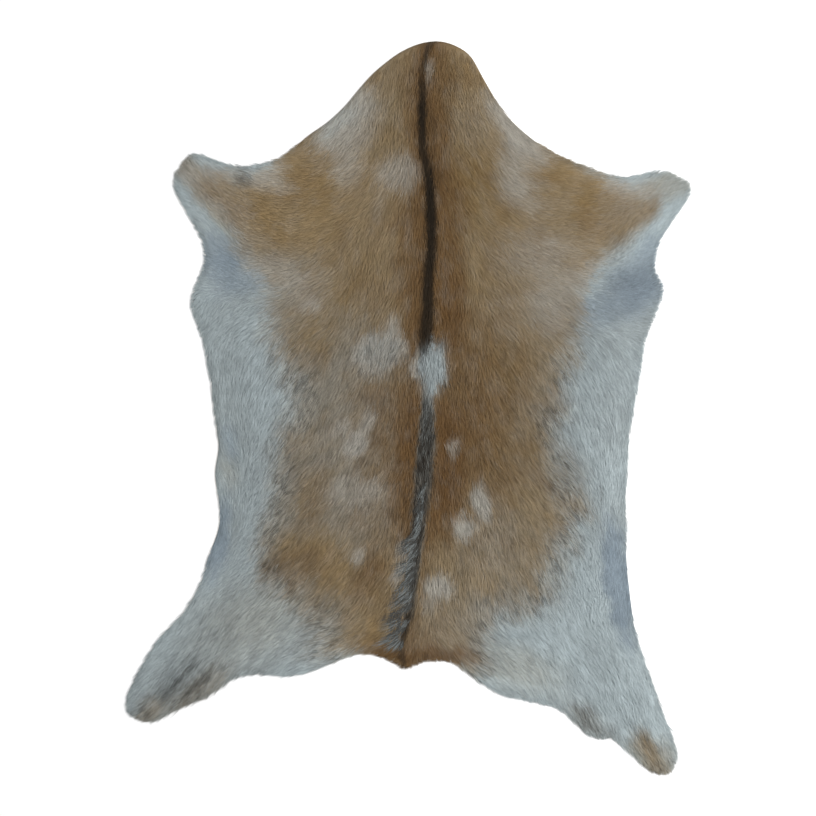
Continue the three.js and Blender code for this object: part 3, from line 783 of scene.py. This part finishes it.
def make_skin(ring, coat_top):
    """The leather as a closed sheet: a downy hair side, a flesh side on the floor and a cut edge."""
    inner = grid_inside(ring, SKIN_PITCH, SKIN_PITCH / 2)
    count = len(ring)
    places = [Vector(point) for point in np.vstack([ring, inner])]
    edges = [(i, (i + 1) % count) for i in range(count)]
    inside_only, tolerance = 1, 1e-6
    flat, _, triangles, *_ = delaunay_2d_cdt(places, edges, [], inside_only, tolerance)
    flat = np.array(flat)
    triangles = np.array(triangles)
    a, b, c = (flat[triangles[:, k]] for k in range(3))
    clockwise = (b - a)[:, 0] * (c - a)[:, 1] - (b - a)[:, 1] * (c - a)[:, 0] < 0
    triangles[clockwise] = triangles[clockwise][:, ::-1]
    total = len(flat)
    around = np.arange(count)
    after = (around + 1) % count
    room = np.maximum(coat_top(flat) - SKIN_THICKNESS, 0.0)
    down = DOWN_SHARE * room * smooth(depth_inside(flat, ring), 0.0, DOWN_REACH)
    top = np.column_stack([flat, SKIN_THICKNESS + down])
    bottom = np.column_stack([flat, np.zeros(total)])
    sides = np.vstack([
        np.column_stack([around + total, after + total, after]),
        np.column_stack([around + total, after, around]),
    ])
    faces = np.vstack([triangles, triangles[:, ::-1] + total, sides])
    shares = coat_colours(flat)
    attributes = {colour: np.tile(values, 2) for colour, values in shares.items()}
    skin = mesh_piece("hide_skin", np.vstack([top, bottom]), faces, undercoat_material(), attributes)
    skin.data.materials.append(suede_material())
    slots = np.ones(len(faces), np.int32)
    slots[:len(triangles)] = 0
    skin.data.polygons.foreach_set("material_index", slots)
    return skin


# Locks of hair: the places on the skin that each passes from its root to its tip, its tone, which holds
# painted shade at the rim, and its height
Locks = namedtuple("Locks", "path tone height")

# Single hairs: places in three dimensions from the root to the tip, with the lock that each belongs to
Blades = namedtuple("Blades", "points side width lock")


def coat_locks(skin_ring, outline, rng):
    """The locks of the coat, laid the way that it grows and kept inside the outline."""
    roots = grid_inside(skin_ring, LOCK_PITCH, -LOCK_PITCH)
    roots = roots + rng.uniform(-0.5, 0.5, roots.shape) * LOCK_PITCH
    roots = roots[depth_inside(roots, skin_ring) > LOCK_MARGIN]
    count = len(roots)
    coat = coat_length(roots)
    length = coat * rng.uniform(*LOCK_LENGTHS, count)
    stray = rng.normal(0.0, LOCK_WANDER, count) + SWIRL * cloud(roots, SWIRL_SIZE, "swirl")
    middles = roots + turned(coat_heading(roots), stray) * length[:, None] / 2
    bend = rng.normal(0.0, LOCK_WANDER, count)
    tips = middles + turned(coat_heading(middles), stray + bend) * length[:, None] / 2
    start, end = depth_inside(roots, outline), depth_inside(tips, outline)
    room = np.where(end < -RIM_OVERHANG, (start + RIM_OVERHANG) / np.maximum(start - end, 1e-6), 1.0)
    run = np.stack([np.zeros_like(roots), middles - roots, tips - roots], axis=1)
    wisps = WISP_TONE * (coat / USUAL_LENGTH) ** 2 * cloud(roots, WISP_SIZE, "wisp")
    tone = 1.0 + LOCK_TONE * rng.normal(0.0, 1.0, count) + wisps
    # Painted shade: the locks darken towards the rim
    tone = tone * (PAINTED_RIM_SHADE + (1.0 - PAINTED_RIM_SHADE) * smooth(np.minimum(start, end), 0.0, RIM_SHADE_REACH))
    return Locks(roots[:, None] + run * room[:, None, None], tone, rng.uniform(*LOCK_HEIGHTS, count))


def mane_locks(rng):
    """The long locks of the mane, which bend over to the left."""
    place = rng.uniform(0.0, len(MANE) - 1.0, MANE_LOCKS)
    across, along, heading, bend, length = (
        np.interp(place, np.arange(len(MANE)), column(MANE, name)) for name in Mane._fields
    )
    points = [np.stack([across - MANE_WIDTH * rng.uniform(0, 1, MANE_LOCKS) ** 2, along], axis=1)]
    heading = heading + rng.normal(0.0, MANE_WANDER, MANE_LOCKS)
    length = length * rng.uniform(*MANE_LENGTHS, MANE_LOCKS)
    for step in range(1, MANE_STEPS):
        way = unit(heading + bend * step / MANE_STEPS)
        points.append(points[-1] + way * length[:, None] / (MANE_STEPS - 1))
    tone = 1.0 + LOCK_TONE * rng.normal(0.0, 1.0, MANE_LOCKS)
    return Locks(np.stack(points, axis=1), tone, rng.uniform(*MANE_HEIGHTS, MANE_LOCKS))


def part_locks(locks, blades, width, spread, skin_ring, top, rng):
    """The hairs of every lock, lifted off the skin into the solid's own height."""
    lock = np.repeat(np.arange(len(locks.path)), blades)
    count, steps = len(lock), locks.path.shape[1]
    share = np.linspace(0.0, 1.0, steps)
    lock_root = locks.path[lock, 0]
    offset = unit(rng.uniform(0.0, 360.0, count))
    offset = offset * (spread * np.sqrt(rng.uniform(0.0, 1.0, count)))[:, None]
    by_rim = np.repeat(depth_inside(locks.path[:, 0], skin_ring) < spread + RIM_REACH, blades)
    off_skin = by_rim.copy()
    off_skin[by_rim] = depth_inside((lock_root + offset)[by_rim], skin_ring) < 0.0
    offset[off_skin] = 0.0
    run = turned(locks.path[lock] - lock_root[:, None], rng.normal(0.0, BLADE_WANDER, count)[:, None])
    run = run * rng.uniform(*BLADE_LENGTHS, count)[:, None, None]
    plan = lock_root[:, None] + run + offset[:, None] * (1.0 - LOCK_GATHER * share)[None, :, None]

    pile = np.maximum(top(plan) - SKIN_THICKNESS, LEAST_PILE)
    lift = (1.0 - BLADE_SINK * rng.uniform(0.0, 1.0, count) ** 2) * locks.height[lock]
    rise = np.interp(share, (0.0, 0.5, 1.0), BLADE_RISE) * rng.uniform(*BLADE_WAVE, (count, steps))
    height = SKIN_THICKNESS + pile * lift[:, None] * rise
    height[:, 0] = ROOT_HEIGHT * SKIN_THICKNESS
    outside = np.zeros(count)
    outside[by_rim] = np.maximum(-depth_inside(plan[by_rim, -1], skin_ring), 0.0)
    height[:, -1] *= 1.0 - RIM_DROOP_SHARE * smooth(outside, 0.0, RIM_DROOP)

    way = way_of(plan)
    roll = np.radians(rng.uniform(-BLADE_ROLL, BLADE_ROLL, count))[:, None]
    side = np.hstack([np.stack([way[:, 1], -way[:, 0]], axis=1) * np.cos(roll), np.sin(roll)])
    widths = width * rng.uniform(*BLADE_WIDTHS, count)
    return Blades(np.concatenate([plan, height[..., None]], axis=2), side, widths, lock)


def way_of(plan):
    """The direction from each hair's root to its tip, across and along."""
    way = plan[:, -1] - plan[:, 0]
    return way / np.maximum(np.linalg.norm(way, axis=1, keepdims=True), 1e-6)


def hair_colours(blades, rng):
    """How much of each colour each hair has from its root to its tip, a little astray from the pattern."""
    plan = blades.points[..., :2]
    count, steps = plan.shape[:2]
    along = rng.normal(0.0, STRAY_ALONG, count) + STRAY_TOGETHER * cloud(plan[:, 0], WISP_SIZE, "stray")
    stray = way_of(plan) * along[:, None] + rng.normal(0.0, STRAY_ASIDE, (count, 2))
    shares = coat_colours((plan + stray[:, None]).reshape(-1, 2))
    return {colour: mixed(values.reshape(count, steps), rng) for colour, values in shares.items()}


def mixed(shares, rng):
    """A colour's shares in each hair: where they are partial, some hairs have more of it and some less."""
    more = MIXING * rng.uniform(-1.0, 1.0, (len(shares), 1))
    return np.clip(shares + more * 4.0 * shares * (1.0 - shares), 0.0, 1.0)


def make_hair(skin_ring, outline, top):
    """The hairs of the coat, as one mesh for each band of it, and those of the mane."""
    rng = np.random.default_rng(SEED)
    material = hair_material()
    locks = coat_locks(skin_ring, outline, rng)
    blades = part_locks(locks, BLADES_IN_LOCK, BLADE_WIDTH, LOCK_SPREAD, skin_ring, top, rng)
    shares = hair_colours(blades, rng)
    tan = shares["tan"].mean(axis=1)
    roots = locks.path[:, 0]
    tufts = smooth(cloud(roots, GUARD_SIZE, "guard"), *GUARD_TUFT_EDGE) * smooth(roots[:, 1], *GUARD_FROM)
    guard = np.maximum(4.0 * tan * (1.0 - tan), GUARD_IN_TAN * tan) * tufts[blades.lock]
    tone = (locks.tone[blades.lock] + rng.normal(0.0, BLADE_TONE, len(tan))) * GUARD_TONE**guard

    along = locks.path[blades.lock, 0, 1]
    band_edges = np.quantile(along, np.linspace(0, 1, len(HAIR_BANDS) + 1)[1:-1])
    band = np.searchsorted(band_edges, along)
    pieces = []
    for number, name in enumerate(HAIR_BANDS):
        chosen = np.flatnonzero(band == number)
        own_blades = Blades(*(values[chosen] for values in blades))
        own_shares = {colour: values[chosen] for colour, values in shares.items()}
        pieces.append(hair_piece("hair_" + name, own_blades, tone[chosen], own_shares, material))
    pieces.append(make_mane(skin_ring, top, material, rng))
    return pieces


def make_mane(skin_ring, top, material, rng):
    """The hairs of the mane: black at their roots, and grey or dark at their tips."""
    locks = mane_locks(rng)
    blades = part_locks(locks, MANE_BLADES, MANE_BLADE_WIDTH, MANE_SPREAD, skin_ring, top, rng)
    count, steps = blades.points.shape[:2]
    tufts = smooth(cloud(locks.path[:, 0], MANE_TUFT, "mane"), *MANE_TUFT_EDGE)
    grey = (rng.uniform(0.0, 1.0, len(tufts)) < MANE_GREY_SHARE * tufts)[blades.lock]
    tip = np.where(grey, rng.uniform(0.0, MANE_GREY_TIP, count), MANE_TIP_BLACK)
    shares = {colour: np.zeros((count, steps)) for colour in HAIR_COLOURS}
    shares["grey"] = np.full((count, steps), MANE_GREY)
    shares["black"] = 1.0 - (1.0 - tip)[:, None] * smooth(np.linspace(0.0, 1.0, steps), *MANE_TURN)
    tone = locks.tone[blades.lock] + rng.normal(0.0, BLADE_TONE, count)
    return hair_piece("hair_mane", blades, tone, shares, material)


def hair_piece(name, blades, tone, shares, material):
    """One mesh of tapered blades: a strip of faces for each hair, from its root to its tip."""
    count, steps = blades.points.shape[:2]
    share = np.linspace(0.0, 1.0, steps)
    taper = np.interp(share, (0.0, 0.5, 1.0), (ROOT_WIDTH_SHARE, 1.0, 0.0))[:-1]
    half = blades.side[:, None] * (blades.width[:, None] * taper)[..., None] / 2
    edges = np.stack([blades.points[:, :-1] - half, blades.points[:, :-1] + half], axis=2)
    corners = np.concatenate([edges.reshape(count, -1, 3), blades.points[:, -1:]], axis=1)
    last = 2 * steps - 2
    strip = [(k, k + 1, k + 3) for k in range(0, last - 2, 2)]
    strip += [(k, k + 3, k + 2) for k in range(0, last - 2, 2)]
    strip.append((last - 2, last - 1, last))
    faces = (np.array(strip)[None] + (last + 1) * np.arange(count)[:, None, None]).reshape(-1, 3)
    reach = np.append(np.repeat(share[:-1], 2), 1.0)
    step = np.append(np.repeat(np.arange(steps - 1), 2), steps - 1)
    attributes = {key: values[:, step].ravel() for key, values in shares.items()}
    attributes["tone"] = np.repeat(tone, last + 1)
    attributes["reach"] = np.tile(reach, count)
    piece = mesh_piece(name, corners.reshape(-1, 3), faces, material, attributes)
    lay_out_map(piece, faces, count, reach)
    return piece


def lay_out_map(piece, faces, count, reach):
    """A map in which each hair has an upright cell of its own, in the order of the hairs."""
    cell_height = 4  # for each width
    left, right, bottom, top = 0.2, 0.8, 0.08, 0.92  # of a hair in its cell
    columns = math.ceil(math.sqrt(count * cell_height))
    rows = math.ceil(count / columns)
    cell = np.arange(count)
    across = np.append(np.tile([left, right], len(reach) // 2), 0.5)
    in_cell = np.stack([across, bottom + (top - bottom) * reach], axis=1)
    low = np.stack([cell % columns, cell // columns], axis=1)
    places = ((low[:, None] + in_cell[None]) / (columns, rows)).reshape(-1, 2)
    layer = piece.data.uv_layers.new(name="OFBake")
    layer.data.foreach_set("uv", places[faces.ravel()].astype(np.float32).ravel())


def make_floor():
    corners = np.array([(-1, -1, 0), (1, -1, 0), (1, 1, 0), (-1, 1, 0)]) * FLOOR_HALF / MM
    nodes = Nodes("floor")
    nodes.surface("Base Color", (FLOOR_WHITE, FLOOR_WHITE, FLOOR_WHITE, 1.0))
    nodes.surface("Roughness", 0.9)
    nodes.surface("Specular IOR Level", 0.1)
    floor = mesh_piece("floor", corners, np.array([(0, 1, 2), (0, 2, 3)]), nodes.material, {})
    return floor


def make_light():
    """An even white sky, and a soft box to the right."""
    world = bpy.data.worlds.new("studio")
    world.use_nodes = True
    sky = world.node_tree.nodes["Background"].inputs
    sky["Color"].default_value = (1.0, 1.0, 1.0, 1.0)
    sky["Strength"].default_value = SKY_STRENGTH
    bpy.context.scene.world = world
    lamp = bpy.data.lights.new("soft_box", "AREA")
    lamp.shape = "DISK"
    lamp.size = SOFT_BOX_SIZE
    lamp.energy = SOFT_BOX_POWER
    light = bpy.data.objects.new("soft_box", lamp)
    light.location = SOFT_BOX_PLACE
    light.rotation_mode = "QUATERNION"
    light.rotation_quaternion = (-light.location).to_track_quat("-Z", "Y")
    bpy.context.collection.objects.link(light)


def make_camera():
    """Straight above the middle of the skin, with the neck at the top of the picture."""
    low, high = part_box("hide")
    shown = (high.y - low.y) * PHOTO_FRAME_PX / PHOTO_LENGTH_PX
    camera = bpy.data.objects.new("camera", bpy.data.cameras.new("camera"))
    camera.data.lens = CAMERA_LENS
    camera.location = (0.0, 0.0, shown * CAMERA_LENS / camera.data.sensor_width)
    bpy.context.collection.objects.link(camera)
    bpy.context.scene.camera = camera


def main():
    bpy.context.scene.view_settings.view_transform = "Standard"
    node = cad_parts["hide"]
    outline = solid_outline(node)
    skin_ring = skin_outline(outline)
    coat_top = CoatTop(node)
    skin = make_skin(skin_ring, coat_top)
    hair = make_hair(skin_ring, outline, coat_top)
    floor = make_floor()
    make_light()
    make_camera()
    for piece in [skin, *hair]:
        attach(piece, "root")
        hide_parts("hide")


main()
